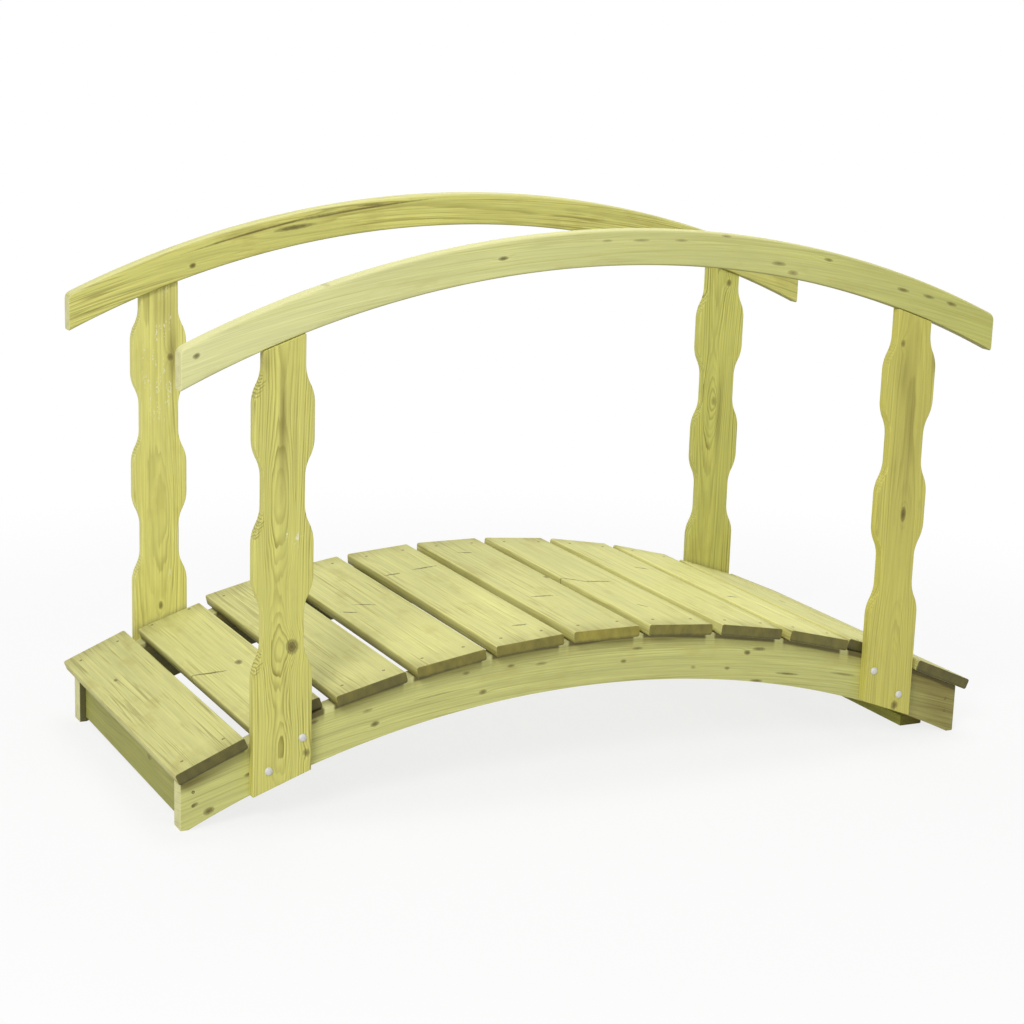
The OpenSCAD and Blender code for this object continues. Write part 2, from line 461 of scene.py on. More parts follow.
def hatch(along, count):
    """Torn fibres on the left shoulder of a bulge, as short slanted dashes one above the other."""
    return [Knot(along + 8.0 * k, 3.2 * k - 50.0, 1.5, 5.0, 0.5, 0.4, 0.7, 0.8) for k in range(count)]


def bent(marks, bend):
    """Knots or stains of an arched board, moved from plain height to the place across the bent grain."""
    return [mark._replace(across=mark.across + bend * mark.along**2) for mark in marks]


class Pine(Paint):
    """Treated pine as a solid: the rings of a log, its fibres, knots, dirt and cut ends.

    Each method lays one kind of mark over the colour, so a board calls those that it shows, in order.
    """

    def __init__(self, name, log, knots=()):
        super().__init__(bpy.data.materials.new(name))
        self.log = log
        self.seed = log.seed * SEED_STEP
        spot = self.node("ShaderNodeTexCoord", None, None, output="Object")
        place = {"Location": log.centre, "Rotation": (0.0, log.turn, 0.0), "Scale": (MM, MM, MM)}
        local = self.node("ShaderNodeMapping", {"vector_type": "TEXTURE"}, {"Vector": spot, **place})
        self.along, self.across, self.through = self.parts(local, log.axes)
        self.height = self.across
        if log.bend:
            self.across = self.across + self.along * self.along * log.bend
        self.ripple = self.streak(70, 13, 1)
        self.strand = self.streak(190, 3.2, -1, detail=2.0)
        self.fibre = self.streak(60, 1.3, 1, detail=2.0, rough=0.6)
        self.patch = self.streak(170, 38, -1, detail=2.0)
        self.knots = [(knot, self.away(knot)) for knot in knots]
        self.late = self.rings()
        self.furrow = 0.0

    def streak(self, long, wide, shift, lift=0, detail=1.0, rough=0.5):
        """Noise drawn out along the board, so long and so wide. shift and lift set boards and kinds apart."""
        x = self.along / long + shift * self.seed
        y = self.across / wide + lift * self.seed
        return self.noise(x, y, self.through / wide, detail, rough)

    def oval(self, mark, lean=0.0, waver=0.0):
        """Square of the distance from a mark, measured in its half sizes."""
        long_part = (self.along - mark.along - lean) / mark.half_long
        wide_part = (self.across - mark.across) / mark.half_wide + waver
        return long_part * long_part + wide_part * wide_part

    def away(self, knot):
        """Distance from a knot in its half sizes, leaning with its slant and wavering with the grain."""
        lean = (self.across - knot.across) * knot.slant + self.ripple * (7.0 * knot.fray)
        return self.math("SQRT", self.oval(knot, lean)) + self.ripple * 0.8

    def rings(self):
        """Late wood, from 0 to 1.

        The ring number is the distance from the log's wavering heart over the ring spacing. Late wood is a
        saw-tooth of it, which darkens slowly and stops short, stronger in some rings than in others. A knot
        draws the rings round itself by a bell of its distance.
        """
        log = self.log
        side = self.across - log.heart[0] + self.along * log.lean[0] + self.streak(650, 420, 1) * 40
        deep = self.through - log.heart[1] + self.along * log.lean[1] + self.streak(520, 420, -1, 1) * 36
        reach = self.math("SQRT", side * side + deep * deep)
        for knot, away in self.knots:
            reach = reach - self.math("EXPONENT", away * away * -0.16) * knot.pull
        number = (reach + self.ripple * 1.8 + self.strand * 1.5) / log.spacing
        number = number + self.noise(number / 3.1 + self.seed, 0.5, 0.5) * 2.2
        tooth = self.math("FRACT", number)
        ring = self.math("FLOOR", number)
        vigour = self.node("ShaderNodeTexWhiteNoise", {"noise_dimensions": "1D"}, {"W": ring})
        late = self.rise(tooth, 0.25, 0.88) * (1 - self.rise(tooth, 0.89, 1.0))
        return late * (0.20 + 0.80 * vigour * vigour) * (0.30 + 1.1 * self.rise(self.patch, -0.22, 0.22))

    def lay(self, name, share):
        """Covers a share of the surface with one of the scene's colours."""
        self.colour = self.mix(share, self.colour, linear(getattr(colours(), name)))

    def wood(self, pale, dark, contrast, dirt=0.4, grain=1.0, drift=0.0):
        """Early and late wood with fibres, brown clouds and pencil lines of dirt.

        drift mixes in the dark colour towards the far end, and grain is the strength of the fibres.
        """
        self.colour = self.mix(self.late * contrast, linear(pale), linear(dark))
        if drift:
            share = (0.5 + self.along / (2 * self.log.half_length)) * drift
            self.colour = self.mix(share, self.colour, linear(dark))
        band = self.streak(430, 15, 2)
        streaks = self.fibre * 0.34 + self.strand * 0.44 + band * 0.34 + self.patch * 0.30
        self.colour = self.lighten(self.colour, 1.0 + streaks * grain)
        cloud = self.streak(95, 42, 4, detail=3.0, rough=0.6)
        self.lay("stain", self.rise(cloud, 0.02, 0.26) * (0.15 + dirt * 0.30))
        trace = abs(self.streak(620, 8, 3) + self.fibre * 0.04)
        kept = self.rise(self.patch + band * 0.5 + self.fibre * 0.5, -0.12, 0.16)
        self.pencil = (1 - self.rise(trace, 0.008, 0.052)) * kept * (dirt * 0.6)
        self.lay("dirt", self.pencil)

    def stain(self, stains):
        """Soft brown stains."""
        for stain in stains:
            bell = self.math("EXPONENT", self.oval(stain, waver=self.ripple * 0.8) * -1.0)
            self.lay("dirt", bell * (1.0 + self.strand * 1.6) * stain.share)

    def ink(self):
        """Hearts of the knots, with rings, a dark core and a dark rim of bark."""
        torn = self.noise(self.along / 5.5, self.across / 5.5 + self.seed, self.through / 40)
        for knot, away in self.knots:
            if not knot.ink:
                continue
            ragged = away + torn * (1.2 * knot.fray)
            heart = 1 - self.rise(ragged, 0.70, 1.05)
            turns = self.math("SINE", ragged * 13) * 0.10
            self.lay("knot", heart * (0.85 + turns) * knot.ink)
            bark = self.rise(ragged, 0.75, 0.98) * (1 - self.rise(ragged, 1.0, 1.5))
            core = 1 - self.rise(ragged, 0.10, 0.70)
            self.lay("check", (bark * 0.55 + core * 0.50) * knot.ink)

    def salt(self, showers):
        """Dried specks of treatment salt, in upright clumps."""
        for shower in showers:
            near = 1 - self.rise(self.oval(shower), 0.2, 1.0)
            speck = self.noise(self.along / 6.0, self.across / 2.6, self.through / 30)
            clump = self.noise(self.along / 34, self.across / 7.0 + self.seed, self.through / 30)
            specks = self.rise(speck, 0.06, 0.13) * self.rise(clump, 0.05, 0.13)
            self.lay("salt", near * specks * shower.share)

    def shoulders(self, strength):
        """Cutter marks on the left upper sides of a post's bulges."""
        facing = self.node("ShaderNodeNewGeometry", None, None, output="Normal")
        sideways, _, upward = self.parts(facing, (0, 1, 2))
        ridge = self.rise(self.math("SINE", self.along * 1.05 + self.ripple * 9), 0.1, 0.8)
        marks = self.rise(sideways * -1.0, 0.3, 0.7) * self.rise(upward, 0.10, 0.30) * ridge
        self.lay("dirt", marks * strength)
        self.furrow = marks * (2.0 * strength)

    def below(self, radius, top):
        """Depth below an arc, from its radius and top in metres."""
        radius, top = radius / MM, top / MM
        return top - radius + self.math("SQRT", radius**2 - self.along * self.along) - self.height

    def rail_highlight_and_shade(self, upper, lower):
        """Painted highlight along the upper edge of a rail and painted shade along its lower edge, following
        its two arcs.
        """
        # painted highlight: pale cut colour along the rounded upper edge
        self.lay("pale_cut_and_highlight", (1 - self.rise(self.below(*upper), 1.5, 6.0)) * 0.55)
        # painted shade: dark colour along the rounded lower edge
        self.lay("check", self.rise(self.below(*lower), -3.5, -0.5) * 0.6)

    def shade_inner_face(self, place):
        """Painted shade on the face at this place through the board, for the beams' inner faces under the
        deck.
        """
        # painted shade: darkens the inner face of the board
        self.lay("painted_shade", self.rise(self.through / place, 0.90, 0.97) * 0.9)

    def shade_under_planks(self, radius, top, turn):
        """Dirt and painted shade on a beam below each plank, a painted contact shadow right under it, and
        pale wood between planks, which lie at equal turns.
        """
        under = self.below(radius, top)
        steps = self.math("ARCSINE", self.along / (radius / MM)) / turn
        covered = self.rise(self.math("PINGPONG", steps + 0.5, 0.5), 0.045, 0.085)
        # grime and painted shade in a band below each plank
        grime_and_shade = (1 - self.rise(under, 6.0, 32.0)) * covered
        self.lay("dirt", grime_and_shade * (0.50 + self.patch * 1.4 + self.strand * 0.9))
        self.lay("pale_cut_and_highlight", (1 - self.rise(under, 4.0, 13.0)) * (1 - covered) * 0.7)
        # painted shadow: a dark contact line right under each plank
        self.lay("check", (1 - self.rise(under + self.patch * 14, 8.0, 12.5)) * covered * 0.85)

    def plank_sides(self, half_width, edge):
        """Soil at the ends and sides of a plank, and wear with a painted highlight on its rounded arris.
        Returns the share of painted shade on its sawn sides, darker towards the bottom.
        """
        end = self.log.half_length
        aside = abs(self.across)
        soil = self.rise(abs(self.along), end - 75, end) * 0.6
        soil = soil + self.rise(aside, half_width - 16, half_width) * 0.4
        self.lay("dirt", soil * (0.40 + self.patch * 1.6 + self.strand * 1.4))
        # wear and painted highlight: lightens the rounded arris
        wear_and_highlight = self.rise(aside, half_width - 6.0, half_width - 2.0) * (0.20 + self.patch * 0.4)
        self.colour = self.lighten(self.colour, 1.0 + wear_and_highlight)
        # painted shade on the sawn side within the gap, strongest towards the bottom
        low = 0.25 + 0.75 * self.rise(self.through * -1.0, -6.0, 7.0)
        side = self.rise(aside, half_width - 2.0, half_width - 0.5)
        return side * low * edge * (1.0 + self.strand * 1.2)

    def cut_ends(self, cut, sides=None):
        """Sawn ends in the colour of the cut. A plank's sides take the same colour as painted shade, and
        painted shade darkens the lower edges of its ends and sides.
        """
        end = self.log.half_length
        saw = self.rise(abs(self.along), end - 1.3, end - 0.3)
        mottle = self.noise(self.along / 40, self.across / 15 + self.seed, self.through / 22, detail=3.0)
        blotch = 1.0 if sides else 0.3
        light = 1.0 + self.late * -0.2 + (self.patch * 0.8 + mottle * 1.1) * blotch + self.fibre * 0.4
        if sides:
            # painted shade on a plank's sawn sides, in the colour of the cut
            saw = self.math("MAXIMUM", saw, sides)
            # painted shade along the lowest millimetres of the ends and sides
            light = light - 0.5 * (1 - self.rise(self.through, -10.5, -5.0))
        self.colour = self.mix(saw * 0.95, self.colour, self.lighten(linear(cut), light))

    def done(self):
        """The finished material, with the fibres as fine relief."""
        height = self.fibre * 0.6 + self.late * 0.3 + self.strand * 0.5 - self.pencil * 0.8 - self.furrow
        normal = self.node("ShaderNodeBump", None, {"Strength": 0.35, "Distance": 0.0006, "Height": height})
        rough = 0.62 + self.fibre * 0.25 + self.late * 0.08
        return self.finish({"Base Color": self.colour, "Roughness": rough, "Normal": normal})


# Places that follow from the frame


def middle(node):
    """Centre and half size of a node's box."""
    low, high = (np.array(corner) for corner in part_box(node))
    return (low + high) / 2, (high - low) / 2


def plank_name(number):
    """Node of a plank, counted from the left."""
    return f"plank_{number:02d}"


def plank_place(number):
    """Centre of a plank, its slope about Y, and its half sizes along, across and through.

    The planks lie round one circle, so the slope follows from the drop below the middle plank.
    """
    top, half_top = middle(plank_name(MIDDLE_PLANK))
    centre, half = middle(plank_name(number))
    slope = 0.0
    if abs(centre[0]) > MM:
        slope = 2 * math.atan((top[2] - centre[2]) / centre[0])
    return centre, slope, (half[1], half_top[0], half_top[2])


def beam_arcs():
    """Radius and top height of the beams' upper and lower arcs, from the circle that the planks lie on."""
    top, half = middle(plank_name(MIDDLE_PLANK))
    last = middle(plank_name(PLANKS))[0]
    radius = chord_radius(last[0], top[2] - last[2]) - half[2]
    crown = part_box("near_stringer")[1][2]
    depth = sizes().beam_depth
    return (radius, crown), (radius - depth, crown - depth)


def rail_arcs():
    """Radius and top height of a handrail's upper and lower arcs, from its ends and its depth."""
    low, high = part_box("near_rail")
    depth = sizes().rail_depth
    radius = chord_radius(high[0], high[2] - depth - low[2])
    return (radius + depth, high[2]), (radius, high[2] - depth)


def arched_log(node, arc, cut):
    """Log of an arched board, whose grain follows a share of the bend of its lower arc."""
    centre, half = middle(node)
    bend = GRAIN_RUN / (2 * arc[0] / MM)
    return Log((0, 2, 1), (0.0, centre[1], 0.0), half[0] / MM, bend=bend, **cut)


def arched_board(node, upper, lower, radius):
    """Board along the node's length, with upright sections from lower(x) to upper(x) rounded by radius."""
    size = sizes()
    centre, half = middle(node)
    near_end = half[0] - np.array([size.foot_flat, *CORNER_STATIONS])
    inner = np.concatenate([np.linspace(-half[0], half[0], ARCH_STATIONS), near_end, -near_end])
    x, inset = eased_stations(-half[0], half[0], size.sawn_edge, np.unique(inner))
    top, base = upper(x), lower(x)
    a, b = section(half[1] - inset, (top - base) / 2 - inset, radius)
    rows = np.broadcast_to(x[:, None], a.shape)
    return skin(np.stack([rows, centre[1] + a, (top + base)[:, None] / 2 + b], axis=-1))


def cross_board(centre, slope, halves, radius, stations):
    """Board across the bridge, tilted about Y by slope, with its half sizes along, across and through."""
    half_length, half_width, half_thick = halves
    inner = np.linspace(-CROSS_REACH, CROSS_REACH, stations)
    y, inset = eased_stations(-half_length, half_length, sizes().sawn_edge, inner)
    a, b = section(half_thick - inset, half_width - inset, radius)
    along = np.array([math.cos(slope), 0.0, -math.sin(slope)])
    out = np.array([math.sin(slope), 0.0, math.cos(slope)])
    rows = centre + y[:, None, None] * np.array([0.0, 1.0, 0.0])
    return skin(rows + a[:, :, None] * out + b[:, :, None] * along)


def facing(side):
    """Turn that points +Z along Y, to this side."""
    return Matrix.Rotation(-side * math.pi / 2, 4, "X")


# Operators


class BRIDGE_OT_beams(bpy.types.Operator):
    """Two arched side beams with flat feet"""

    bl_idname = "bridge.beams"
    bl_label = "Side beams"

    LOOKS = {
        "near_stringer": dict(
            cut=dict(heart=(470.0, 40.0), spacing=4.6, seed=2.0),
            knots=[
                Knot(-780, 32, 8, 5, 6, 0.9), Knot(-706, 92, 6, 3, 3, 0.8), Knot(-806, 47, 5, 3, 3, 0.8),
                Knot(-581, 176, 7, 3, 3), Knot(-477, 186, 8, 3, 3, 0.5), Knot(-462, 159, 7, 4, 4, 0.9),
                Knot(-335, 202, 42, 1.4, 2, 0.5), Knot(-281, 237, 6, 3, 3, 0.7), Knot(-245, 197, 6, 3.5, 4),
                Knot(-189, 242, 6, 2.5, 3, 0.7), Knot(-126, 240, 10, 3, 4, 0.5), Knot(50, 227, 5, 3, 3, 0.8),
                Knot(79, 250, 9, 2.5, 2, 0.7), Knot(204, 200, 5, 3, 3, 0.5), Knot(281, 190, 5, 3, 3, 0.7),
                Knot(325, 217, 6, 4, 4, 1.0), Knot(352, 222, 12, 3, 4, 0.8), Knot(350, 157, 11, 2.5, 3, 0.8),
                Knot(421, 164, 20, 2, 4, 0.8), Knot(552, 150, 22, 2, 4, 0.6),
            ],
            # The last two patches darken the beam's right end and a band under the last plank.
            stains=[Patch(-815, 88, 48, 10, 0.8), Patch(805, 60, 105, 75, 0.9), Patch(765, 112, 95, 20, 0.8)],
        ),
        "far_stringer": dict(
            cut=dict(heart=(420.0, -60.0), spacing=4.8, seed=9.0),
            knots=[Knot(-480, 190, 11, 7, 7), Knot(120, 238, 10, 6, 6), Knot(640, 118, 12, 7, 7)],
            stains=[],
        ),
    }

    def execute(self, context):
        upper, lower = beam_arcs()
        tint = colours()
        turn = plank_place(MIDDLE_PLANK + 1)[1]
        for node, look in self.LOOKS.items():
            centre, half = middle(node)
            log = arched_log(node, lower, look["cut"])
            pine = Pine(f"{node} pine", log, bent(look["knots"], log.bend))
            pine.wood(tint.beam_pale, tint.beam_dark, contrast=0.45, dirt=0.45, drift=0.12)
            pine.stain(bent(look["stains"], log.bend))
            pine.ink()
            pine.shade_inner_face(-math.copysign(half[1], centre[1]) / MM)
            pine.shade_under_planks(*upper, turn)
            pine.cut_ends(tint.pale_cut_and_highlight)
            shape = arched_board(
                node,
                lambda x: arc_height(x, *upper),
                lambda x: np.maximum(arc_height(x, *lower), 0.0),
                sizes().sawn_edge,
            )
            place_piece(f"{node}_board", shape, pine.done(), node)
        return {"FINISHED"}


class BRIDGE_OT_rails(bpy.types.Operator):
    """Two arched handrails with rounded edges and end corners"""

    bl_idname = "bridge.rails"
    bl_label = "Handrails"

    LOOKS = {
        "near_rail": dict(
            cut=dict(heart=(1160.0, 75.0), spacing=4.6, seed=4.0),
            pale="near_pale",
            dark="near_dark",
            wood=dict(contrast=0.45, dirt=0.3, grain=0.75, drift=0.65),
            knots=[
                Knot(-808, 855, 5, 4, 5, 0.9), Knot(-572, 966, 5, 2, 4, 0.6), Knot(-240, 1004, 7, 3, 5, 0.9),
                Knot(215, 1034, 8, 2, 3, 0.7), Knot(332, 980, 12, 3, 9, 0.6), Knot(363, 962, 9, 4, 7, 0.6),
                Knot(441, 984, 9, 3, 5, 0.8), Knot(616, 922, 11, 3, 4), Knot(676, 907, 12, 3, 4),
                Knot(731, 891, 10, 3, 4), Knot(-34, 1031, 9, 2, 3, 0.5), Knot(36, 1030, 13, 2, 3, 0.5),
                Knot(119, 1028, 11, 2, 3, 0.5),
            ],
        ),
        "far_rail": dict(
            cut=dict(heart=(1030.0, 60.0), spacing=4.2, seed=6.0),
            pale="far_pale",
            dark="far_dark",
            wood=dict(contrast=0.65, dirt=0.9, grain=1.0, drift=0.05),
            knots=[
                Knot(-583, 916, 5, 4, 4, 1.0), Knot(-368, 987, 34, 4, 5, 0.9),
                Knot(-204, 1029, 26, 2, 4, 0.8), Knot(-440, 983, 26, 9, 2, 0.9, 14.0),
                Knot(-215, 1023, 32, 7, 2, 0.9, 16.0),
            ],
        ),
    }

    def crown(self, x):
        """Upper arc, with a quarter circle taken off at each end."""
        corner = sizes().rail_corner
        end = middle("near_rail")[1][0]
        short = np.clip(corner - (end - np.abs(x)), 0.0, corner)
        return arc_height(x, *rail_arcs()[0]) - corner + np.sqrt(corner**2 - short**2)

    def execute(self, context):
        upper, lower = rail_arcs()
        tint = colours()
        for node, look in self.LOOKS.items():
            log = arched_log(node, lower, look["cut"])
            pine = Pine(f"{node} pine", log, bent(look["knots"], log.bend))
            pine.wood(getattr(tint, look["pale"]), getattr(tint, look["dark"]), **look["wood"])
            pine.ink()
            pine.rail_highlight_and_shade(upper, lower)
            pine.cut_ends(tint.pale_cut_and_highlight)
            shape = arched_board(node, self.crown, lambda x: arc_height(x, *lower), sizes().rail_edge)
            place_piece(f"{node}_board", shape, pine.done(), node)
        return {"FINISHED"}


class BRIDGE_OT_planks(bpy.types.Operator):
    """Eleven deck planks with rounded long edges"""

    bl_idname = "bridge.planks"
    bl_label = "Deck planks"

    # edge is the strength of the painted shade on a plank's sawn sides, in the gaps between planks.
    LOOKS = {
        1: dict(tone=0.97, heart=(30, -160), dirt=1.0, edge=0.30, end=0.80,
                knots=[Knot(150, -20, 6, 3, 4)]),
        2: dict(tone=0.99, heart=(-120, -90), dirt=0.6, edge=0.70, end=0.75,
                knots=[Knot(-38, 20, 10, 6, 9, 0.9), spike(-26, -45, 27, -0.8)]),
        3: dict(tone=0.98, heart=(165, -75), dirt=0.8, edge=0.95, end=0.90,
                knots=[Knot(215, 30, 7, 3, 5, 0.7)]),
        4: dict(tone=1.02, heart=(-140, -90), dirt=0.7, edge=0.90, end=1.08,
                knots=[spike(10, -49, 11, -1.0), spike(31, -8, 14, -0.95)]),
        5: dict(tone=1.02, heart=(115, -100), dirt=0.6, edge=0.75, end=1.10,
                knots=[spike(174, -48, 13), spike(182, 26, 20), spike(-276, 22, 11, -0.2)]),
        6: dict(tone=1.0, heart=(-175, -80), dirt=0.7, edge=0.40, end=1.30,
                knots=[spike(-116, -8, 20, -0.13), spike(257, -8, 12, -0.35), Knot(15, 66, 9, 6, 5, 0.9)]),
        7: dict(tone=1.02, heart=(140, -85), dirt=0.5, edge=0.40, end=1.08,
                knots=[spike(-12, -50, 20, -0.8), spike(-28, -3, 27), spike(-225, -6, 7, -1.6)]),
        8: dict(tone=1.06, heart=(-155, -90), dirt=0.5, edge=0.30, end=0.90,
                knots=[spike(120, 25, 14, -0.3)]),
        9: dict(tone=1.10, heart=(125, -75), dirt=0.5, edge=0.30, end=0.95,
                knots=[spike(-80, -30, 16, 0.4)]),
        10: dict(tone=1.06, heart=(-130, -90), dirt=0.6, edge=0.30, end=0.70,
                 knots=[Knot(30, 10, 9, 5, 7, 0.7)]),
        11: dict(tone=1.0, heart=(160, -80), dirt=0.6, edge=0.30, end=0.80,
                 knots=[Knot(-140, -15, 8, 5, 6, 0.7)]),
    }

    def log(self, number):
        """Log of a plank. Its heart drifts down or up by turns, and its rings have one of three spacings."""
        centre, slope, halves = plank_place(number)
        lean = (0.0, 0.012 * (-1) ** number)
        spacing = 3.4 + 0.3 * (number % 3)
        heart = self.LOOKS[number]["heart"]
        return Log((1, 0, 2), tuple(centre), halves[0] / MM, slope, 0.0, heart, lean, spacing, 11.0 + number)

    def execute(self, context):
        tint = colours()
        for number, look in self.LOOKS.items():
            node = plank_name(number)
            centre, slope, halves = plank_place(number)
            pine = Pine(f"{node} pine", self.log(number), look["knots"])
            # tone is each plank's own tone, and for planks 8 to 10 also painted light that brightens them
            # where the key lamp lights them less
            pale = toned(tint.deck_pale, look["tone"])
            pine.wood(pale, tint.deck_dark, contrast=0.3, dirt=look["dirt"], grain=0.8)
            pine.ink()
            # share of painted shade on the sawn sides
            sides = pine.plank_sides(halves[1] / MM, look["edge"])
            pine.cut_ends(toned(tint.dark_cut_and_shade, look["end"]), sides)
            shape = cross_board(centre, slope, halves, sizes().plank_edge, stations=13)
            place_piece(f"{node}_board", shape, pine.done(), node)
        return {"FINISHED"}


class BRIDGE_OT_end_boards(bpy.types.Operator):
    """A board between the beams under each end of the deck, and one on the ground behind it"""

    bl_idname = "bridge.end_boards"
    bl_label = "End and sole boards"

    # The sole boards are toned lighter as painted light, brightening them where they lie in the bridge's
    # shade.
    TONES = {"left_end_board": 1.0, "right_end_board": 1.0, "left_sole_board": 1.25, "right_sole_board": 1.25}

    def execute(self, context):
        tint = colours()
        for number, (node, tone) in enumerate(self.TONES.items()):
            centre, half = middle(node)
            axes = (1, 2, 0) if half[2] > half[0] else (1, 0, 2)
            log = Log(axes, tuple(centre), half[1] / MM, heart=(24.0, 55.0), spacing=4.2, seed=31.0 + number)
            pine = Pine(f"{node} pine", log, [Knot(-120, 10, 8, 5, 5, 0.5)])
            pine.wood(toned(tint.board_pale, tone), toned(tint.board_dark, tone), contrast=0.4)
            pine.ink()
            pine.cut_ends(toned(tint.dark_cut_and_shade, tone))
            halves = (half[1], half[0], half[2])
            shape = cross_board(centre, 0.0, halves, sizes().sawn_edge, stations=9)
            place_piece(f"{node}_board", shape, pine.done(), node)
        return {"FINISHED"}


class BRIDGE_OT_posts(bpy.types.Operator):
    """Four flat posts with wavy edges, their ends cut to the arcs of beam and handrail"""

    bl_idname = "bridge.posts"
    bl_label = "Posts"

    LOOKS = {
        "near_left_post": dict(
            cut=dict(heart=(-6.0, 32.0), lean=(0.004, 0.016), spacing=3.9, seed=3.0),
            contrast=0.85,
            tone=(1.03, 1.03, 1.0),
            shoulders=0.6,
            knots=[
                Knot(329, 16, 11, 9, 10, 0.95), Knot(318, -10, 30, 10, 17, 0), Knot(590, -6, 42, 10, 17, 0),
                Knot(145, 0, 28, 9, 14, 0), Knot(128, 45, 6, 5, 3, 0.8),
                *hatch(780, 4), *hatch(533, 4), *hatch(285, 3),
            ],
            stains=[Patch(745, -3, 75, 6, 0.75), Patch(660, -5, 60, 7, 0.35), Patch(838, -34, 20, 6, 0.5)],
            salts=[Patch(525, 14, 22, 26)],
        ),
        "near_right_post": dict(
            cut=dict(heart=(6.0, 30.0), lean=(0.0, -0.015), spacing=4.0, seed=5.0),
            contrast=0.45,
            tone=(1.0, 0.985, 0.88),
            shoulders=0.15,
            knots=[
                Knot(477, 4, 12, 5, 10, 0.95), Knot(818, -25, 6, 4, 5, 0.7), Knot(79, 18, 8, 6, 7, 0.95),
                Knot(150, 8, 40, 8, 12, 0),
            ],
            stains=[
                Patch(755, -15, 52, 11, 0.4), Patch(781, 55, 24, 6, 0.95), Patch(600, 8, 130, 5, 0.35),
                Patch(650, 2, 210, 17, 0.25),
            ],
            salts=[],
        ),
        "far_left_post": dict(
            cut=dict(heart=(-14.0, 44.0), lean=(0.01, 0.01), spacing=4.6, seed=7.0),
            contrast=0.6,
            tone=(1.08, 1.08, 1.12),
            shoulders=0.3,
            knots=[Knot(220, 0, 7, 4, 6, 0.8), Knot(733, 22, 6, 5, 6, 0.8), Knot(420, 14, 60, 9, 15, 0)],
            stains=[Patch(735, 26, 60, 10, 0.7), Patch(830, 10, 40, 22, 0.3)],
            salts=[Patch(705, -4, 130, 42), Patch(830, 14, 60, 14), Patch(285, 8, 45, 18)],
        ),
        "far_right_post": dict(
            cut=dict(heart=(-14.0, 30.0), lean=(0.0, 0.022), spacing=4.4, seed=8.0),
            contrast=0.85,
            tone=(1.02, 1.03, 0.98),
            shoulders=0.2,
            knots=[Knot(843, 13, 6, 5, 7, 0.8), Knot(578, -12, 30, 9, 15, 0), Knot(578, -10, 9, 5, 6, 0.5)],
            stains=[Patch(540, 5, 90, 7, 0.5)],
            salts=[],
        ),
    }

    def half_width(self, z, widest):
        """Half width at height z: necks and bulges joined by two equal arcs that meet halfway."""
        size = sizes()
        necks = size.neck_height + size.wave_pitch * np.arange(NECKS)
        away = np.min(np.abs(z[:, None] - necks), axis=1)
        u = np.clip(away - size.neck_straight / 2, 0.0, size.wave_curve)
        neck = size.neck_width / 2
        radius = chord_radius(size.wave_curve / 2, (widest - neck) / 2)
        hollow = neck + radius - np.sqrt(radius**2 - np.minimum(u, size.wave_curve / 2) ** 2)
        left = np.minimum(size.wave_curve - u, size.wave_curve / 2)
        swell = widest - radius + np.sqrt(radius**2 - left**2)
        return np.where(u < size.wave_curve / 2, hollow, swell)

    def shape(self, node, foot_arc, head_arc):
        """Post between two arcs. The slant of its end sections fades out over a short reach."""
        edge = sizes().sawn_edge
        centre, half = middle(node)
        base = arc_height(centre[0], *foot_arc)
        top = arc_height(centre[0], *head_arc)
        z, inset = eased_stations(base, top, edge, np.linspace(base, top, POST_STATIONS))
        a, b = section(self.half_width(z, half[0]) - inset, half[1] - inset, edge)
        x = centre[0] + a
        foot = np.clip(1 - (z - base) / FOOT_REACH, 0.0, 1.0)[:, None]
        head = np.clip(1 - (top - z) / HEAD_REACH, 0.0, 1.0)[:, None]
        slant = foot * (arc_height(x, *foot_arc) - base) + head * (arc_height(x, *head_arc) - top)
        return skin(np.stack([x, centre[1] + b, z[:, None] + slant], axis=-1))

    def execute(self, context):
        tint = colours()
        foot_arc = [part + sizes().post_foot for part in beam_arcs()[1]]
        head_arc = rail_arcs()[1]
        for node, look in self.LOOKS.items():
            centre, half = middle(node)
            log = Log((2, 0, 1), (centre[0], centre[1], 0.0), half[2] / MM, **look["cut"])
            pine = Pine(f"{node} pine", log, look["knots"])
            pale = [part * share for part, share in zip(tint.post_pale, look["tone"])]
            pine.wood(pale, tint.post_dark, look["contrast"], grain=0.75)
            pine.stain(look["stains"])
            pine.ink()
            pine.salt(look["salts"])
            pine.shoulders(look["shoulders"])
            place_piece(f"{node}_board", self.shape(node, foot_arc, head_arc), pine.done(), node)
        return {"FINISHED"}


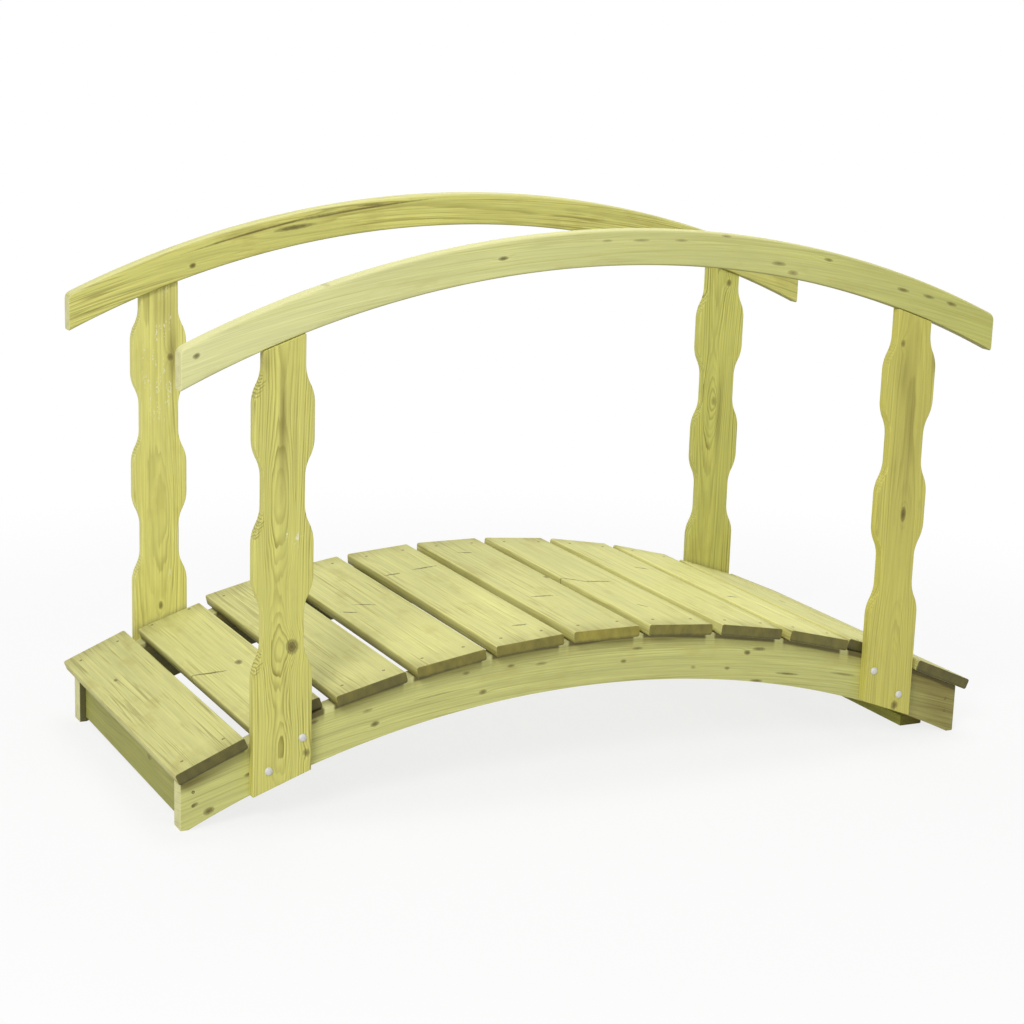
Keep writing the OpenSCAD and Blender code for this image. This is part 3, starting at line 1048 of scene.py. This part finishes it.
class BRIDGE_OT_bolts(bpy.types.Operator):
    """Two domed bolts through each post and beam, with washer and nut on the inside"""

    bl_idname = "bridge.bolts"
    bl_label = "Bolts"

    def dome(self):
        """Domed head with a low upright rim."""
        fixing = fixings()
        arch = np.linspace(0.0, np.pi / 2, 7)
        radius = fixing.bolt_head / 2 * np.cos(arch)
        radius[-1] = 0.02 * radius[0]
        height = fixing.bolt_rim + fixing.bolt_dome * np.sin(arch)
        return lathe(np.append(radius[0], radius), np.append(-SUNK, height))

    def washer(self):
        """Washer with a bevelled rim."""
        fixing = fixings()
        rim = fixing.washer_width / 2
        thick = fixing.washer_thick
        radius = [rim, rim, rim - fixing.washer_bevel, fixing.washer_hole / 2]
        return lathe(radius, [-SUNK, thick - SUNK, thick, thick])

    def nut(self):
        """Six-sided nut with a chamfered top, on its washer."""
        fixing = fixings()
        corner = fixing.nut_width / math.sqrt(3)
        low = fixing.washer_thick - SUNK / 2
        top = fixing.washer_thick + fixing.nut_height
        radius = [corner, corner, 0.92 * corner, 0.5 * corner]
        return lathe(radius, [low, top - fixing.nut_chamfer, top, top], turns=6)

    def execute(self, context):
        fixing = fixings()
        zinc = metal("galvanised bolt", colours().zinc, 0.15, 0.5)
        dome, washer, nut = self.dome(), self.washer(), self.nut()
        places = [(fixing.bolt_inner, fixing.bolt_high), (-fixing.bolt_outer, fixing.bolt_low)]
        for node in BRIDGE_OT_posts.LOOKS:
            centre, half = middle(node)
            inward = -np.sign(centre[0])
            outside = np.sign(centre[1])
            beam_centre, beam_half = middle("near_stringer" if outside < 0 else "far_stringer")
            face = centre[1] + outside * half[1]
            inner = beam_centre[1] - outside * beam_half[1]
            out, back = facing(outside), facing(-outside)
            parts = []
            for reach, height in places:
                x = centre[0] + inward * reach
                for shape, turn, y in ((dome, out, face), (washer, back, inner), (nut, back, inner)):
                    parts.append(moved(shape, Matrix.Translation((x, y, height)) @ turn))
            place_piece(f"{node}_bolts", joined(parts), zinc)
        return {"FINISHED"}


class BRIDGE_OT_screws(bpy.types.Operator):
    """Countersunk screws through the planks into the beams, and through the beams into the end boards"""

    bl_idname = "bridge.screws"
    bl_label = "Screws"

    def head(self):
        """Countersunk head with a round recess."""
        radius = fixings().screw_head / 2 * np.array([1.0, 1.0, 0.8, 0.35, 0.3, 0.05])
        return lathe(radius, [-0.002, 0.0001, 0.0003, 0.0003, -0.0006, -0.0006], turns=18)

    def deck_spots(self):
        """Places and turns of the deck screws, two for each plank and beam."""
        beam_y = abs(middle("near_stringer")[0][1])
        for number in range(1, PLANKS + 1):
            centre, slope, (half_length, half_width, half_thick) = plank_place(number)
            turn = Matrix.Translation(centre) @ Matrix.Rotation(slope, 4, "Y")
            reach = half_width - fixings().screw_edge
            for y in (-beam_y, beam_y):
                for x in (-reach, reach):
                    yield turn @ Matrix.Translation((x, y, half_thick))

    def end_spots(self):
        """Places and turns of the screws through the beams, two for each end board and beam."""
        for board in ("left_end_board", "right_end_board"):
            x = middle(board)[0][0]
            for beam in ("near_stringer", "far_stringer"):
                centre, half = middle(beam)
                outside = np.sign(centre[1])
                for height in (fixings().end_screw_low, fixings().end_screw_high):
                    yield Matrix.Translation((x, centre[1] + outside * half[1], height)) @ facing(outside)

    def execute(self, context):
        dull = metal("dull screw", colours().screw, 0.6, 0.55)
        head = self.head()
        for name, spots in (("deck_screws", self.deck_spots()), ("end_board_screws", self.end_spots())):
            place_piece(name, joined([moved(head, spot) for spot in spots]), dull)
        return {"FINISHED"}


class BRIDGE_OT_stage(bpy.types.Operator):
    """Pale floor, soft studio light and the camera"""

    bl_idname = "bridge.stage"
    bl_label = "Stage"

    def execute(self, context):
        self.floor()
        self.light()
        self.camera()
        return {"FINISHED"}

    def floor(self):
        """Pale floor that shows white to the camera and keeps a soft shadow, just below the feet."""
        paint = Paint(bpy.data.materials.new("pale floor"))
        spot = paint.node("ShaderNodeTexCoord", None, None, output="Object")
        away = paint.node("ShaderNodeVectorMath", {"operation": "LENGTH"}, {0: spot}, output="Value")
        share = 0.80 + 0.20 * paint.rise(away, 1.1, 2.4)
        matte = paint.node("ShaderNodeBsdfDiffuse", None, {"Color": FLOOR_GREY})
        white = paint.node("ShaderNodeEmission", None, {"Color": WHITE, "Strength": 1.0})
        surface = paint.node("ShaderNodeMixShader", None, {0: paint.seen() * share, 1: matte, 2: white})
        paint.node("ShaderNodeOutputMaterial", None, {"Surface": surface})
        mesh = bpy.data.meshes.new("floor")
        half, low = 30.0, -0.0005
        corners = [(-half, -half, low), (half, -half, low), (half, half, low), (-half, half, low)]
        mesh.from_pydata(corners, [], [(0, 1, 2, 3)])
        mesh.materials.append(paint.owner)
        floor = bpy.data.objects.new("floor", mesh)
        bpy.context.scene.collection.objects.link(floor)

    def light(self):
        """White surroundings, seen as white, a large key lamp at front left and a weaker one from above."""
        scene = bpy.context.scene
        scene.view_settings.view_transform = "Standard"
        scene.world = bpy.data.worlds.new("studio")
        sky = Paint(scene.world)
        level = sky.node("ShaderNodeMapRange", None, {"Value": sky.seen(), "To Min": 0.40, "To Max": 1.0})
        glow = sky.node("ShaderNodeBackground", None, {"Color": WHITE, "Strength": level})
        sky.node("ShaderNodeOutputWorld", None, {"Surface": glow})
        target = Vector((0.0, 0.0, 0.45))
        lamps = {"key lamp": ((-5.1, -5.0, 5.2), 3.0, 340.0), "top lamp": ((0.8, 0.6, 4.5), 3.0, 80.0)}
        for name, (place, size, power) in lamps.items():
            lamp = bpy.data.lights.new(name, "AREA")
            lamp.size = size
            lamp.energy = power
            holder = bpy.data.objects.new(name, lamp)
            holder.location = place
            holder.rotation_euler = (target - holder.location).to_track_quat("-Z", "Y").to_euler()
            scene.collection.objects.link(holder)

    def camera(self):
        """Camera at the picture's viewing angle, with its place in metres and its turns in degrees."""
        place = (-2.0228, -4.0575, 1.4846)
        yaw, pitch, roll = (math.radians(angle) for angle in (24.73, -14.14, 1.50))
        focal, centre_x, centre_y, frame_size = 2314.7, 452.7, 560.0, 1024
        data = bpy.data.cameras.new("camera")
        data.sensor_width = 36.0
        data.lens = data.sensor_width * focal / frame_size
        data.shift_x = (frame_size / 2 - centre_x) / frame_size
        data.shift_y = (centre_y - frame_size / 2) / frame_size
        holder = bpy.data.objects.new("camera", data)
        upright = Matrix.Rotation(-yaw, 4, "Z") @ Matrix.Rotation(math.pi / 2 + pitch, 4, "X")
        holder.matrix_world = Matrix.Translation(place) @ upright @ Matrix.Rotation(roll, 4, "Z")
        bpy.context.scene.collection.objects.link(holder)
        bpy.context.scene.camera = holder


STEPS = (
    BRIDGE_OT_beams,
    BRIDGE_OT_end_boards,
    BRIDGE_OT_planks,
    BRIDGE_OT_posts,
    BRIDGE_OT_rails,
    BRIDGE_OT_bolts,
    BRIDGE_OT_screws,
    BRIDGE_OT_stage,
)


class BRIDGE_PT_panel(bpy.types.Panel):
    """Lists the bridge's sizes, colours and steps"""

    bl_label = "Arched garden bridge"
    bl_idname = "BRIDGE_PT_panel"
    bl_space_type = "VIEW_3D"
    bl_region_type = "UI"
    bl_category = "Bridge"

    def draw(self, context):
        for step in STEPS:
            self.layout.operator(step.bl_idname)
        for group in (sizes(), fixings(), colours()):
            for name in group.__annotations__:
                self.layout.prop(group, name)


GROUPS = {"bridge_boards": BoardSizes, "bridge_fixings": FixingSizes, "bridge_colours": WoodColours}


def register():
    for cls in (*GROUPS.values(), *STEPS, BRIDGE_PT_panel):
        bpy.utils.register_class(cls)
    for name, group in GROUPS.items():
        setattr(bpy.types.Scene, name, PointerProperty(type=group))


def unregister():
    for name in GROUPS:
        delattr(bpy.types.Scene, name)
    for cls in (BRIDGE_PT_panel, *reversed(STEPS), *reversed(GROUPS.values())):
        bpy.utils.unregister_class(cls)


def main():
    register()
    bpy.ops.bridge.beams()
    bpy.ops.bridge.end_boards()
    bpy.ops.bridge.planks()
    bpy.ops.bridge.posts()
    bpy.ops.bridge.rails()
    bpy.ops.bridge.bolts()
    bpy.ops.bridge.screws()
    bpy.ops.bridge.stage()


if __name__ == "__main__":
    main()
